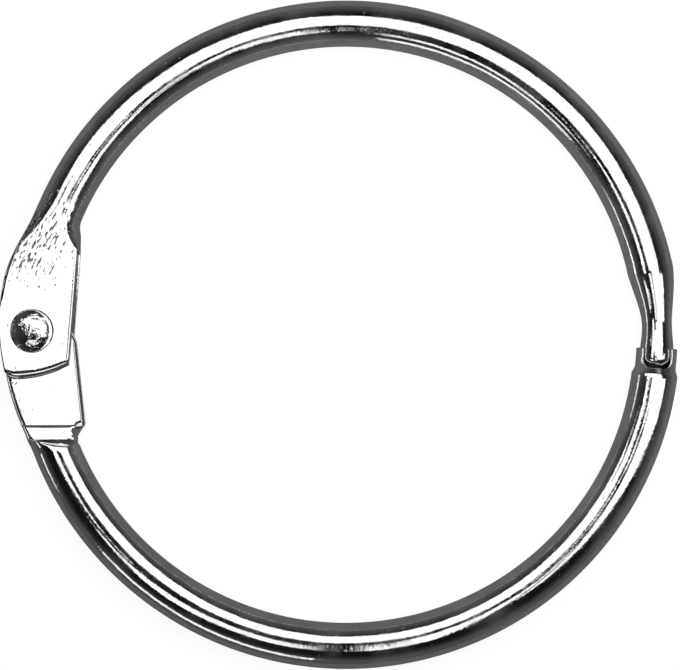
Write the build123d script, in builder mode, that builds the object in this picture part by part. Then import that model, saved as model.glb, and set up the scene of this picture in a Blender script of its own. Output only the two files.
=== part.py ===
from build123d import *
import os
from math import acos, asin, atan2, cos, degrees, hypot, radians, sin, sqrt, tan

# Hinged loose-leaf ring, closed, lying flat. Lengths are in millimetres and angles in degrees.
# The origin is the ring's centre, +Z is the ring's axis, +X points at the snap closure and -X at
# the hinge. Angles run counterclockwise from +X, and heights are along Y.
# Each half is a tube rolled from sheet, with its seam along the inside of the ring. It is hollow
# for the bore's depth in from each open end, and solid between, where nothing shows.

# Ring
eye_diameter = 50.0
tube_diameter = 4.0
sheet_thickness = 0.45
seam_gap = 0.12
bore_depth = 5.0
inside_bend = 0.1
narrowest_flat = 0.1
side_arc = 12
trim_margin = 2.2

# Rivet at the hinge, with a domed head in a dimple on each side
pivot_height = 0.33
shank_diameter = 2.0
head_diameter = 3.3
head_rim_height = 0.12
head_dome_height = 0.5
dimple_diameter = 3.8
dimple_floor_diameter = 3.5
dimple_depth = 0.12

# Fork of the upper half: the tube opens into two flat cheeks, joined by a web at the back
fork_length = 8.0
fork_swell_length = 6.4
fork_open_length = 4.0
fork_section_count = 5
fork_back_bulge = 0.95
fork_back_bend = 0.4
fork_front_inset = 1.4
fork_front_tilt = 4.2
web_rise = 3.84
cheek_back_reach = 2.92
cheek_corner_back = 2.3
cheek_corner_drop = 3.63
cheek_end_drop = 3.53
cheek_front_drop = 2.43
cheek_corner_radius = 1.1

# Flat tongue of the lower half, which lies between the cheeks
tongue_gap = 0.05
shank_clearance = 0.05
tongue_length = 8.08
tongue_section_count = 2
tongue_front_inset = 2.3
tongue_back_reach = 2.67
tongue_back_radius = 19.35
tongue_back_drop = 0.46
tongue_root_bend = 0.8
tongue_top_bend = 0.4
tongue_web_drop = 1.2
tongue_nose_reach = 3.55
tongue_nose_drop = 0.93
tongue_nose_rounding = 0.4
shoulder_length = 1.2
shoulder_lead = 0.6

# Snap closure: a necked plug on the upper half, and a mouth with two lips on the lower half
plug_angle = -3.0
neck_diameter = 2.66
neck_length = 2.55
taper_length = 4.5
groove_diameter = 2.3
bead_diameter = 2.74
bead_seat = 0.65
bead_rounding = 0.5
plug_tip_diameter = 1.9
plug_tip_length = 0.9
plug_bore_diameter = 1.4
plug_bore_depth = 3.0
mouth_drop = 1.65
mouth_corner_radius = 0.7
lip_rise = 0.24
lip_clearance = 0.08
lip_rounding = 0.4
throat_length = 0.6
socket_clearance = 0.13
socket_end_clearance = 0.4

# Values worked out from the ones above
tube_radius = tube_diameter / 2
bore_radius = tube_radius - sheet_thickness
eye_radius = eye_diameter / 2
centreline_radius = eye_radius + tube_radius
outer_radius = eye_radius + tube_diameter
pivot_x = -centreline_radius
tongue_half_height = bore_radius - tongue_gap
tongue_slot_half_height = tongue_half_height - sheet_thickness
seat_height = tube_radius - dimple_depth
clear_through = 2 * tube_diameter


def arc_angle(length):
    """Angle that this length takes along the tube's centreline."""
    return degrees(length / centreline_radius)


def share_between(value, start, end):
    """Share of the way from start to end, from 0 to 1."""
    return min(max((value - start) / (end - start), 0), 1)


def blend(start, end, share):
    """Value this share of the way from start to end."""
    return start + (end - start) * share


def steps(start, end, count):
    """Values that divide the way from start to end into this many steps, both ends included."""
    return [blend(start, end, step / count) for step in range(count + 1)]


def on_ring(radius, angle):
    """Point in the ring's mid-plane at this radius and angle."""
    return (radius * cos(radians(angle)), radius * sin(radians(angle)))


def from_pivot(outward, drop):
    """Point in the ring's mid-plane, this far outward of the rivet and this far below it."""
    return (pivot_x - outward, pivot_height - drop)


def radial_plane(angle):
    """Plane through the ring's axis at this angle, with x outward and z along the tube."""
    turn = radians(angle)
    return Plane(origin=(0, 0, 0), x_dir=(cos(turn), sin(turn), 0), z_dir=(-sin(turn), cos(turn), 0))


def level_plane(height):
    """Plane square to the Y axis at this height, with x pointing at the hinge side."""
    return Plane(origin=(0, height, 0), x_dir=(-1, 0, 0), z_dir=(0, -1, 0))


def tube_circle(angle, radius):
    """Round section, square to the tube's centreline at this angle."""
    with BuildSketch(radial_plane(angle)) as circle:
        with Locations((centreline_radius, 0)):
            Circle(radius)
    return circle.sketch


def seam_strip(angle):
    """Section of the seam, through the inner side of the tube's wall at this angle."""
    with BuildSketch(radial_plane(angle)) as strip:
        with Locations((eye_radius, 0)):
            Rectangle(2 * sheet_thickness, seam_gap)
    return strip.sketch


def tube_section(angle, radius):
    """Round section like tube_circle, in eight arcs, so that it lofts into a folded section."""
    with BuildSketch(radial_plane(angle)) as circle:
        with BuildLine():
            for quarter in range(4):
                side_start = 90 * quarter - side_arc / 2
                CenterArc((centreline_radius, 0), radius, side_start, side_arc)
                CenterArc((centreline_radius, 0), radius, side_start + side_arc, 90 - side_arc)
        make_face()
    return circle.sketch


def round_section(plane, front, back, half_height):
    """Oval in eight arcs, so that it lofts into a section with four sides and four corners."""
    with BuildSketch(plane) as oval:
        with BuildLine():
            for quarter in range(4):
                side_start = 90 * quarter - side_arc / 2
                corner_start = side_start + side_arc
                middle = ((front + back) / 2, 0)
                reach = (back - front) / 2
                EllipticalCenterArc(middle, reach, half_height, start_angle=side_start, arc_size=side_arc)
                EllipticalCenterArc(middle, reach, half_height, start_angle=corner_start, arc_size=90 - side_arc)
        make_face()
    return oval.sketch


def folded_section(plane, front, back, half_height, back_corner):
    """Flattened tube: straight sides, a wide round front that is trimmed off, and a back bend."""
    front_corner = half_height - narrowest_flat
    with BuildSketch(plane) as folded:
        with BuildLine():
            Line((back, back_corner - half_height), (back, half_height - back_corner))
            CenterArc((back - back_corner, half_height - back_corner), back_corner, 0, 90)
            Line((back - back_corner, half_height), (front + front_corner, half_height))
            CenterArc((front + front_corner, half_height - front_corner), front_corner, 90, 90)
            Line((front, half_height - front_corner), (front, front_corner - half_height))
            CenterArc((front + front_corner, front_corner - half_height), front_corner, 180, 90)
            Line((front + front_corner, -half_height), (back - back_corner, -half_height))
            CenterArc((back - back_corner, back_corner - half_height), back_corner, 270, 90)
        make_face()
    return folded.sketch


# Fork: where its sections lie along the ring, and its front and back edges
fork_back = outer_radius + fork_back_bulge
fork_front_distance = eye_radius - fork_front_inset
web_end_angle = 180 - degrees(asin((pivot_height + web_rise) / fork_back))
fork_start_angle = web_end_angle - arc_angle(fork_length)
fork_swell_angle = web_end_angle - arc_angle(fork_swell_length)
fork_edge_angle = fork_start_angle + arc_angle(fork_open_length)
front_edge_angle = 180 - fork_front_tilt - degrees(acos(fork_front_distance / eye_radius))


def fork_front_radius(angle):
    """Radius at which this angle meets the fork's straight front edge."""
    return fork_front_distance / cos(radians(180 - fork_front_tilt - angle))


def fork_front_point(height):
    """Point of the fork's straight front edge at this height."""
    tilt = radians(fork_front_tilt)
    return (height * tan(tilt) - fork_front_distance / cos(tilt), height)


def fork_back_radius(angle):
    """Radius of the fork's back, which swells smoothly from the tube to its widest."""
    share = share_between(angle, fork_swell_angle, web_end_angle)
    return outer_radius + fork_back_bulge * share**2 * (3 - 2 * share)


def fork_section(angle, inset, half_height, back_bend):
    """Section of the fork's outside, or of its hollow, which lies inset by the sheet."""
    opening = share_between(angle, front_edge_angle, fork_edge_angle) ** 2
    flattening = share_between(angle, fork_start_angle, web_end_angle) ** 2
    front = blend(eye_radius, fork_front_radius(angle) - trim_margin, opening) + inset
    bend = blend(half_height, back_bend, flattening)
    return folded_section(radial_plane(angle), front, fork_back_radius(angle) - inset, half_height, bend)


# Tongue: its heights along Y, and its front and back edges
web_top_height = pivot_height - tongue_web_drop
tongue_root_height = pivot_height - tongue_length
shoulder_height = tongue_root_height - shoulder_length
shoulder_start_angle = 180 + degrees(asin((shoulder_lead - shoulder_height) / eye_radius))
shoulder_front = sqrt(eye_radius**2 - shoulder_height**2)
shoulder_back = sqrt(outer_radius**2 - shoulder_height**2)
nose_corner = from_pivot(-tongue_nose_reach, tongue_nose_drop)
nose_top = from_pivot(0, -tongue_back_reach)


def tongue_front_x(height):
    """Front edge of the tongue at this height: a straight line from its root to its nose."""
    share = share_between(height, tongue_root_height, nose_corner[1])
    return blend(tongue_front_inset - eye_radius, nose_corner[0], share)


def tongue_back_x(height):
    """Back of the tongue at this height, which is one long arc."""
    rise = height - pivot_height + tongue_back_drop
    return pivot_x - tongue_back_reach + tongue_back_radius - sqrt(tongue_back_radius**2 - rise**2)


def tongue_section(height, inset, half_height, root_bend, top_bend):
    """Section of the tongue's outside, or of its hollow, which lies inset by the sheet."""
    front = -tongue_front_x(height) - trim_margin + inset
    bend = blend(root_bend, top_bend, share_between(height, tongue_root_height, web_top_height))
    return folded_section(level_plane(height), front, -tongue_back_x(height) - inset, half_height, bend)


# Closure: places along the plug, which is straight and lies the way the mouth swings off it
plug_root = on_ring(centreline_radius, plug_angle)
plug_outward = on_ring(1, plug_angle)
plug_plane = Plane(origin=(*plug_root, 0), x_dir=(*plug_outward, 0), z_dir=(0, 0, 1))
plug_axis = Axis(plug_plane.origin, plug_plane.y_dir)
throat_drop = mouth_drop + throat_length
bead_drop = throat_drop + bead_seat
plug_tip_drop = bead_drop + plug_tip_length
throat_radius = bead_diameter / 2 + lip_clearance
socket_radius = bead_diameter / 2 + socket_clearance
neck_start_angle = plug_angle + arc_angle(neck_length)
taper_start_angle = neck_start_angle + arc_angle(taper_length)
lip_angle = 360 + plug_angle + arc_angle(lip_rise)
socket_angle = plug_angle - arc_angle(throat_drop)


def across_plug(drop):
    """Plane square to the plug, this far below its root, with z pointing back up the neck."""
    origin = plug_plane.origin - plug_plane.y_dir * drop
    return Plane(origin=origin, x_dir=plug_plane.x_dir, z_dir=plug_plane.y_dir)


# Upper half
with BuildPart() as upper_half:
    # Round tube with its seam, opened out into the fork as far as the web goes
    with BuildSketch(radial_plane(taper_start_angle)):
        with Locations((centreline_radius, 0)):
            Circle(tube_radius)
        with Locations((eye_radius, 0)):
            Rectangle(2 * sheet_thickness, seam_gap, mode=Mode.SUBTRACT)
    revolve(axis=Axis.Z, revolution_arc=fork_start_angle - taper_start_angle)
    fork_angles = steps(front_edge_angle, web_end_angle, fork_section_count)
    fork_outside = [fork_section(angle, 0, tube_radius, fork_back_bend) for angle in fork_angles]
    loft([tube_section(fork_start_angle, tube_radius)] + fork_outside, ruled=True)

    # Flat cheeks past the web, which reach beyond their outline, and then the cut along the outline
    with BuildSketch(Plane.XY.offset(-tube_radius)):
        with BuildLine():
            blank_drop = cheek_corner_drop + trim_margin
            Polyline(
                on_ring(fork_front_radius(web_end_angle) - trim_margin, web_end_angle),
                on_ring(fork_back + trim_margin, web_end_angle),
                from_pivot(cheek_back_reach + trim_margin, blank_drop),
                from_pivot(-fork_front_inset - tube_radius - trim_margin, blank_drop),
                close=True,
            )
        make_face()
    extrude(amount=tube_diameter)
    with BuildSketch(Plane.XY.offset(-clear_through)):
        with BuildLine():
            edge_top = on_ring(eye_radius, front_edge_angle)
            edge_low = fork_front_point(pivot_height - cheek_front_drop)
            back_low = from_pivot(cheek_corner_back, cheek_corner_drop)
            back_top = on_ring(fork_back, web_end_angle)
            Line(edge_top, edge_low)
            ThreePointArc(edge_low, from_pivot(0, cheek_end_drop), back_low)
            ThreePointArc(back_low, from_pivot(cheek_back_reach, 0), back_top)
            Polyline(
                back_top,
                on_ring(fork_back + clear_through, web_end_angle),
                from_pivot(clear_through, clear_through),
                from_pivot(-clear_through, clear_through),
                (pivot_x + clear_through, edge_top[1]),
                edge_top,
            )
        make_face()
        fillet(vertices().sort_by_distance((*back_low, 0))[0], cheek_corner_radius)
    extrude(amount=2 * clear_through, mode=Mode.SUBTRACT)

    # Neck and taper, then the plug with its groove and bead
    neck_end = tube_circle(neck_start_angle, neck_diameter / 2)
    revolve([neck_end], axis=Axis.Z, revolution_arc=plug_angle - neck_start_angle)
    loft([neck_end, tube_circle(taper_start_angle, tube_radius)])
    with BuildSketch(plug_plane):
        with BuildLine():
            Polyline(
                (0, 0),
                (neck_diameter / 2, 0),
                (groove_diameter / 2, -mouth_drop),
                (bead_diameter / 2, -bead_drop),
                (plug_tip_diameter / 2, -plug_tip_drop),
                (0, -plug_tip_drop),
                close=True,
            )
        make_face()
        fillet(vertices().sort_by_distance((0, 0, 0))[-3], bead_rounding)
    revolve(axis=plug_axis)
    with BuildSketch(across_plug(plug_tip_drop)):
        Circle(plug_bore_diameter / 2)
    extrude(amount=plug_bore_depth, mode=Mode.SUBTRACT)

    # End of the tube's bore, the hollow of the fork as far as the web goes, and the slot past it
    bore_circle = tube_circle(fork_start_angle, bore_radius)
    revolve([bore_circle], axis=Axis.Z, revolution_arc=-arc_angle(bore_depth), mode=Mode.SUBTRACT)
    fork_hollow = [fork_section(angle, sheet_thickness, bore_radius, inside_bend) for angle in fork_angles]
    loft([tube_section(fork_start_angle, bore_radius)] + fork_hollow, ruled=True, mode=Mode.SUBTRACT)
    with BuildSketch(Plane.XY.offset(-bore_radius)):
        with BuildLine():
            Polyline(
                on_ring(fork_front_distance - clear_through, web_end_angle),
                on_ring(fork_back + clear_through, web_end_angle),
                from_pivot(clear_through, clear_through),
                from_pivot(-clear_through, clear_through),
                close=True,
            )
        make_face()
    extrude(amount=2 * bore_radius, mode=Mode.SUBTRACT)

    # Dimple in each cheek, and the rivet's hole through both
    for side in (1, -1):
        with BuildSketch(Plane.XY.offset(side * seat_height)):
            with Locations((pivot_x, pivot_height)):
                Circle(dimple_floor_diameter / 2)
        with BuildSketch(Plane.XY.offset(side * tube_radius)):
            with Locations((pivot_x, pivot_height)):
                Circle(dimple_diameter / 2)
        loft(mode=Mode.SUBTRACT)
    with BuildSketch(Plane.XY.offset(-clear_through)):
        with Locations((pivot_x, pivot_height)):
            Circle(shank_diameter / 2)
    extrude(amount=2 * clear_through, mode=Mode.SUBTRACT)

    # Seam on from the tube to where the fork opens
    seam_arc = arc_angle(fork_open_length)
    revolve([seam_strip(fork_start_angle)], axis=Axis.Z, revolution_arc=seam_arc, mode=Mode.SUBTRACT)

# Lower half
with BuildPart() as lower_half:
    # Round tube, with its end rounded over at the lips
    tube_end = tube_section(shoulder_start_angle, tube_radius)
    revolve([tube_end], axis=Axis.Z, revolution_arc=lip_angle - shoulder_start_angle)
    fillet(edges().filter_by(GeomType.CIRCLE).sort_by(Axis.X)[-1], lip_rounding)

    # Shoulder down to the tongue's root, then the tongue up to the top of its web
    shoulder_top = round_section(level_plane(shoulder_height), shoulder_front, shoulder_back, tube_radius)
    tongue_heights = steps(tongue_root_height, web_top_height, tongue_section_count)
    tongue_outside = [
        tongue_section(height, 0, tongue_half_height, tongue_root_bend, tongue_top_bend)
        for height in tongue_heights
    ]
    loft([shoulder_top, tongue_outside[0]])
    loft(tongue_outside)
    loft([tube_end, shoulder_top])

    # Flat nose past the web, which reaches beyond its outline, and then the cut along the outline
    with BuildSketch(Plane.XY.offset(-tongue_half_height)):
        with BuildLine():
            Polyline(
                (tongue_front_x(web_top_height) + trim_margin, web_top_height),
                (tongue_back_x(web_top_height) - trim_margin, web_top_height),
                (pivot_x - tongue_back_reach - trim_margin, nose_top[1] + trim_margin),
                (nose_corner[0] + trim_margin, nose_top[1] + trim_margin),
                close=True,
            )
        make_face()
    extrude(amount=2 * tongue_half_height)
    with BuildSketch(Plane.XY.offset(-clear_through)):
        with BuildLine():
            shoulder_edge = (-shoulder_front, shoulder_height)
            root_edge = (tongue_front_x(tongue_root_height), tongue_root_height)
            nose_radius = pivot_x - tongue_back_x(pivot_height)
            nose_turn = acos(nose_radius / hypot(tongue_nose_reach, tongue_nose_drop))
            nose_angle = degrees(nose_turn - atan2(tongue_nose_drop, tongue_nose_reach))
            nose = CenterArc((pivot_x, pivot_height), nose_radius, nose_angle, 180 - nose_angle)
            web_top = (tongue_back_x(web_top_height), web_top_height)
            web_bend_height = (pivot_height + web_top_height) / 2
            Polyline(shoulder_edge, root_edge, nose_corner, nose @ 0)
            ThreePointArc(nose @ 1, (tongue_back_x(web_bend_height), web_bend_height), web_top)
            Polyline(
                web_top,
                (web_top[0] - clear_through, web_top[1]),
                (web_top[0] - clear_through, clear_through),
                (pivot_x + clear_through, clear_through),
                (pivot_x + clear_through, shoulder_height),
                shoulder_edge,
            )
        make_face()
        fillet(vertices().sort_by_distance((*nose_corner, 0))[0], tongue_nose_rounding)
    extrude(amount=2 * clear_through, mode=Mode.SUBTRACT)

    # End of the tube's bore, then the hollow of the shoulder
    bore_end = tube_section(shoulder_start_angle, bore_radius)
    revolve([bore_end], axis=Axis.Z, revolution_arc=arc_angle(bore_depth), mode=Mode.SUBTRACT)
    hollow_top = round_section(
        level_plane(shoulder_height),
        shoulder_front + sheet_thickness,
        shoulder_back - sheet_thickness,
        bore_radius,
    )
    hollow_root = tongue_section(
        tongue_root_height, sheet_thickness, tongue_slot_half_height, inside_bend, inside_bend
    )
    loft([bore_end, hollow_top], mode=Mode.SUBTRACT)
    loft([hollow_top, hollow_root], mode=Mode.SUBTRACT)

    # Slot of the tongue: open in front all the way, and at the back above the web
    with BuildSketch(Plane.XY.offset(-tongue_slot_half_height)):
        with BuildLine():
            slot_root = (tongue_back_x(tongue_root_height) + sheet_thickness, tongue_root_height)
            slot_middle_height = (tongue_root_height + web_top_height) / 2
            slot_middle = (tongue_back_x(slot_middle_height) + sheet_thickness, slot_middle_height)
            slot_top = (tongue_back_x(web_top_height) + sheet_thickness, web_top_height)
            ThreePointArc(slot_root, slot_middle, slot_top)
            Polyline(
                slot_top,
                (slot_top[0] - clear_through, web_top_height),
                (slot_top[0] - clear_through, clear_through),
                (pivot_x + clear_through, clear_through),
                (pivot_x + clear_through, tongue_root_height),
                slot_root,
            )
        make_face()
    extrude(amount=2 * tongue_slot_half_height, mode=Mode.SUBTRACT)
    with BuildSketch(Plane.XY.offset(-clear_through)):
        with Locations((pivot_x, pivot_height)):
            Circle(shank_diameter / 2 + shank_clearance)
    extrude(amount=2 * clear_through, mode=Mode.SUBTRACT)

    # Bore behind the mouth, the throat between the lips, and the wider socket that holds the bead
    socket_bore = tube_circle(socket_angle, bore_radius)
    revolve([socket_bore], axis=Axis.Z, revolution_arc=-arc_angle(bore_depth), mode=Mode.SUBTRACT)
    with BuildSketch(across_plug(throat_drop)):
        Circle(throat_radius)
    extrude(amount=throat_drop + tube_radius, mode=Mode.SUBTRACT)
    with BuildSketch(across_plug(throat_drop)):
        Circle(socket_radius)
    extrude(amount=-(bead_seat + socket_end_clearance), mode=Mode.SUBTRACT)

    # Notch through the front and the back of the mouth, which leaves a lip on either side
    with BuildSketch(plug_plane.offset(-clear_through)):
        with Locations((0, tube_radius)):
            Rectangle(2 * throat_radius, 2 * (tube_radius + mouth_drop))
        fillet(vertices().sort_by(Axis.Y)[:2], mouth_corner_radius)
    extrude(amount=2 * clear_through, mode=Mode.SUBTRACT)

    # Seam along the inside, from where the shoulder opens
    seam_start_angle = 180 - degrees(asin(shoulder_height / eye_radius))
    seam_arc = 360 - seam_start_angle
    revolve([seam_strip(seam_start_angle)], axis=Axis.Z, revolution_arc=seam_arc, mode=Mode.SUBTRACT)

# Rivet
with BuildPart() as hinge_rivet:
    with BuildSketch(Plane(origin=(pivot_x, pivot_height, 0), x_dir=(1, 0, 0), z_dir=(0, -1, 0))):
        with BuildLine():
            rim_height = seat_height + head_rim_height
            head_top = rim_height + head_dome_height
            TangentArc((0, head_top), (head_diameter / 2, rim_height), tangent=(1, 0))
            Polyline(
                (head_diameter / 2, rim_height),
                (head_diameter / 2, seat_height),
                (shank_diameter / 2, seat_height),
                (shank_diameter / 2, 0),
                (0, 0),
                (0, head_top),
            )
        make_face()
        mirror(about=Plane.XZ)
    revolve(axis=Axis((pivot_x, pivot_height, 0), (0, 0, 1)))

os.makedirs("parts", exist_ok=True)
upper_half.part.label = "upper_half"
export_step(upper_half.part, "parts/upper_half.step")
lower_half.part.label = "lower_half"
export_step(lower_half.part, "parts/lower_half.step")
hinge_rivet.part.label = "hinge_rivet"
export_step(hinge_rivet.part, "parts/hinge_rivet.step")
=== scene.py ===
"""Dresses the hinged binder ring: two rolled halves of nickel-plated sheet and a domed rivet.

Sizes are in millimetres and angles in degrees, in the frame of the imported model: the ring lies
flat about the origin, +Z is its axis, +X points at the snap closure and -X at the hinge.
"""

import logging
from collections.abc import Callable
from dataclasses import dataclass, field
from enum import Enum
from math import acos, asin, atan2, ceil, copysign, cos, degrees, hypot, pi, radians, sin, sqrt, tan

import bmesh
import bpy
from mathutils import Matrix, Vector

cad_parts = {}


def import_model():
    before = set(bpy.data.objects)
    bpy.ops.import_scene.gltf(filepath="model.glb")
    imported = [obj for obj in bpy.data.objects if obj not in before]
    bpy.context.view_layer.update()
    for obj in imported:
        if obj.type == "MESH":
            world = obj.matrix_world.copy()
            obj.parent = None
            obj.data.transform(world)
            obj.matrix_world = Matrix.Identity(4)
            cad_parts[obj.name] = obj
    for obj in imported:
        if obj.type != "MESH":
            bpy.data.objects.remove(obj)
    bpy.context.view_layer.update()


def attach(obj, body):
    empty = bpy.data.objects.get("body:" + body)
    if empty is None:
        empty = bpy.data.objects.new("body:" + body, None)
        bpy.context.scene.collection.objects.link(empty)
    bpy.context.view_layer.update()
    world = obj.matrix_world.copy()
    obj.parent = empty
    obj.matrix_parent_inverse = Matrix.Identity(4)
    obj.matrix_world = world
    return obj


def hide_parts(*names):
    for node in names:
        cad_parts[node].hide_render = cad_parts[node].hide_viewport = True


log = logging.getLogger("binder_ring")

MM = 0.001
WELD_REACH = 0.0005
SLIT_REACH = 0.002
SHARP_ANGLE = 50
SMOOTH_ANGLE = 35
SPIN_STEP = 0.8
PUNCH_REACH = 4

Point = tuple[float, float]
Curve = list[Point]
Row = dict[int, Vector]


class Face(Enum):
    """The two faces of the ring, which are alike."""

    TOP = 1
    UNDERSIDE = -1


class Slot(Enum):
    """Material slots of the record."""

    RING = "ring_nickel"
    RIVET = "rivet_nickel"


def blend(start: float, end: float, share: float) -> float:
    """Value this share of the way from start to end."""
    return start + (end - start) * share


def share_between(value: float, start: float, end: float) -> float:
    """Share of the way from start to end, from 0 to 1."""
    return min(max((value - start) / (end - start), 0.0), 1.0)


def ease(share: float) -> float:
    """Share that starts and ends softly."""
    return share * share * (3 - 2 * share)


def steps(start: float, end: float, count: int) -> list[float]:
    """Values that divide the way from start to end into this many steps, both ends included."""
    return [blend(start, end, step / count) for step in range(count + 1)]


def on_ring(radius: float, angle: float) -> Point:
    """Point in the ring's mid-plane at this radius and angle."""
    return (radius * cos(radians(angle)), radius * sin(radians(angle)))


def arc(middle: Point, radius: float, start: float, end: float, count: int) -> Curve:
    """Points along an arc.

    Args:
        middle: Centre of the arc.
        radius: Radius of the arc.
        start: Angle of its first point.
        end: Angle of its last point.
        count: Number of steps.

    Returns:
        The points, both ends included.
    """
    return [
        (middle[0] + radius * cos(radians(turn)), middle[1] + radius * sin(radians(turn)))
        for turn in steps(start, end, count)
    ]


def arc_through(start: Point, middle: Point, end: Point, count: int) -> Curve:
    """Points along the arc through three points.

    Args:
        start: Its first point.
        middle: A point between its ends.
        end: Its last point.
        count: Number of steps.

    Returns:
        The points, both ends included.
    """
    ax, ay = middle[0] - start[0], middle[1] - start[1]
    bx, by = end[0] - start[0], end[1] - start[1]
    cross = 2 * (ax * by - ay * bx)
    cx = (by * (ax * ax + ay * ay) - ay * (bx * bx + by * by)) / cross
    cy = (ax * (bx * bx + by * by) - bx * (ax * ax + ay * ay)) / cross
    centre = (start[0] + cx, start[1] + cy)
    first = degrees(atan2(-cy, -cx))
    last = degrees(atan2(end[1] - centre[1], end[0] - centre[0]))
    turn = (last - first) % 360
    passed = (degrees(atan2(middle[1] - centre[1], middle[0] - centre[0])) - first) % 360
    if passed > turn:
        turn -= 360
    return arc(centre, hypot(cx, cy), first, first + turn, count)


def lengths_along(curve: Curve) -> list[float]:
    """Distance from the curve's first point to each of its points."""
    total = [0.0]
    for (x0, y0), (x1, y1) in zip(curve, curve[1:]):
        total.append(total[-1] + hypot(x1 - x0, y1 - y0))
    return total


def at_measure(curve: Curve, measure: list[float], value: float) -> Point:
    """Point of the curve where a measure that grows along it reaches this value."""
    for index in range(1, len(curve)):
        if measure[index] >= value:
            share = share_between(value, measure[index - 1], measure[index] + 1e-12)
            (x0, y0), (x1, y1) = curve[index - 1], curve[index]
            return (blend(x0, x1, share), blend(y0, y1, share))
    return curve[-1]


def at_share(curve: Curve, share: float) -> Point:
    """Point this share of the curve's length from its first point."""
    measure = lengths_along(curve)
    return at_measure(curve, measure, measure[-1] * share)


def spread(curve: Curve, count: int, bend_share: float = 0.5) -> Curve:
    """Divides a curve into steps that are shorter where it bends.

    Args:
        curve: Close points along the curve.
        count: Number of steps.
        bend_share: How far the steps follow the bends instead of the length, from 0 to 1.

    Returns:
        The points between the steps, both ends included.
    """
    headings = [atan2(y1 - y0, x1 - x0) for (x0, y0), (x1, y1) in zip(curve, curve[1:])]
    turns = [0.0]
    for before, after in zip(headings, headings[1:]):
        turns.append(abs((after - before + pi) % (2 * pi) - pi))
    lengths = lengths_along(curve)
    turned = sum(turns) or 1.0
    measure = [0.0]
    for index, turn in enumerate(turns):
        length = (lengths[index + 1] - lengths[index]) / lengths[-1]
        measure.append(measure[-1] + blend(length, turn / turned, bend_share))
    return [at_measure(curve, measure, measure[-1] * step / count) for step in range(count + 1)]


def folded_half(
    front: float, back: float, half_height: float, bend: float, front_bend: float | None = None
) -> Curve:
    """Half of a flattened section, from the middle of its front over the top to its back.

    Args:
        front: Radius of its front.
        back: Radius of its back.
        half_height: Half of its height.
        bend: Radius of the bend at its back.
        front_bend: Radius of the bend at its front, which is otherwise nearly its half height.

    Returns:
        Close points along the half section.
    """
    corner = half_height - 0.1 if front_bend is None else front_bend
    top = [(blend(front + corner, back - bend, s), half_height) for s in steps(0, 1, 24)]
    return (
        [(front, 0.0)]
        + arc((front + corner, half_height - corner), corner, 180, 90, 48)
        + top[1:-1]
        + arc((back - bend, half_height - bend), bend, 90, 0, 48)
        + [(back, blend(half_height - bend, 0, s)) for s in steps(0, 1, 12)[1:]]
    )


def trimmed(curve: Curve, front: float, seam: float) -> Curve:
    """Rest of a half section behind its front edge and above half of the seam's gap."""
    for index, (radius, height) in enumerate(curve):
        if radius >= front - 1e-9 and height >= seam:
            if index == 0:
                return curve
            r0, h0 = curve[index - 1]
            along_radius = share_between(front, r0, radius) if radius - r0 > 1e-9 else 0.0
            along_height = share_between(seam, h0, height) if height - h0 > 1e-9 else 0.0
            share = max(along_radius, along_height)
            return [(blend(r0, radius, share), blend(h0, height, share))] + curve[index:]
    return curve


def led_spread(curve: Curve, lead: float, lead_count: int, count: int) -> Curve:
    """Divides a curve like spread, but with even steps over its first stretch.

    Args:
        curve: Close points along the curve.
        lead: Length of the first stretch.
        lead_count: Number of even steps in it.
        count: Number of steps in all.

    Returns:
        The points between the steps, both ends included.
    """
    lengths = lengths_along(curve)
    first = [at_measure(curve, lengths, lead * step / lead_count) for step in range(lead_count)]
    rest = [at_measure(curve, lengths, lead)]
    rest += [point for point, length in zip(curve, lengths) if length > lead]
    return first + spread(rest, count - lead_count)


def rounded_corner(before: Curve, after: Curve, reach: float) -> tuple[Curve, Curve]:
    """Rounds the corner where one curve runs into the next.

    Args:
        before: Curve that ends at the corner.
        after: Curve that starts at the corner.
        reach: Distance from the corner at which the rounding starts and ends.

    Returns:
        Both curves, which now meet in the middle of the rounding.
    """
    corner = after[0]
    first_lengths = lengths_along(before)
    first_end = first_lengths[-1] - reach
    last_lengths = lengths_along(after)
    start = at_measure(before, first_lengths, first_end)
    end = at_measure(after, last_lengths, reach)
    bow = [
        (
            (1 - s) ** 2 * start[0] + 2 * s * (1 - s) * corner[0] + s * s * end[0],
            (1 - s) ** 2 * start[1] + 2 * s * (1 - s) * corner[1] + s * s * end[1],
        )
        for s in steps(0, 1, 16)
    ]
    kept_before = [point for point, length in zip(before, first_lengths) if length < first_end]
    kept_after = [point for point, length in zip(after, last_lengths) if length > reach]
    return kept_before + bow[:9], bow[8:] + kept_after


def patch_rows(
    top: Curve, end: Curve, front: Curve, back: Curve, shares: list[float]
) -> list[Curve]:
    """Rows of points that fill a flat leaf of sheet from its top to its end.

    Args:
        top: Points of the row that the leaf grows from, from its front to its back.
        end: Outline of the leaf's end, from its front to its back.
        front: Outline of its front, from the top to the end.
        back: Outline of its back, from the top to the end.
        shares: Share of the way to the end at which each row lies.

    Returns:
        One list of points for each share.
    """
    measure = lengths_along(top)
    across = [length / measure[-1] for length in measure]
    rows = []
    for v in shares:
        near, far = at_share(front, v), at_share(back, v)
        row = []
        for u, start in zip(across, top):
            goal = at_share(end, u)
            point = []
            for axis in (0, 1):
                along = blend(start[axis], goal[axis], v) + blend(near[axis], far[axis], u)
                corners = blend(
                    blend(top[0][axis], top[-1][axis], u), blend(end[0][axis], end[-1][axis], u), v
                )
                point.append(along - corners)
            row.append((point[0], point[1]))
        rows.append(row)
    return rows


def deselect_all() -> None:
    """Leaves edit mode and deselects every object."""
    if bpy.context.object and bpy.context.object.mode != "OBJECT":
        bpy.ops.object.mode_set(mode="OBJECT")
    bpy.ops.object.select_all(action="DESELECT")


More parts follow.
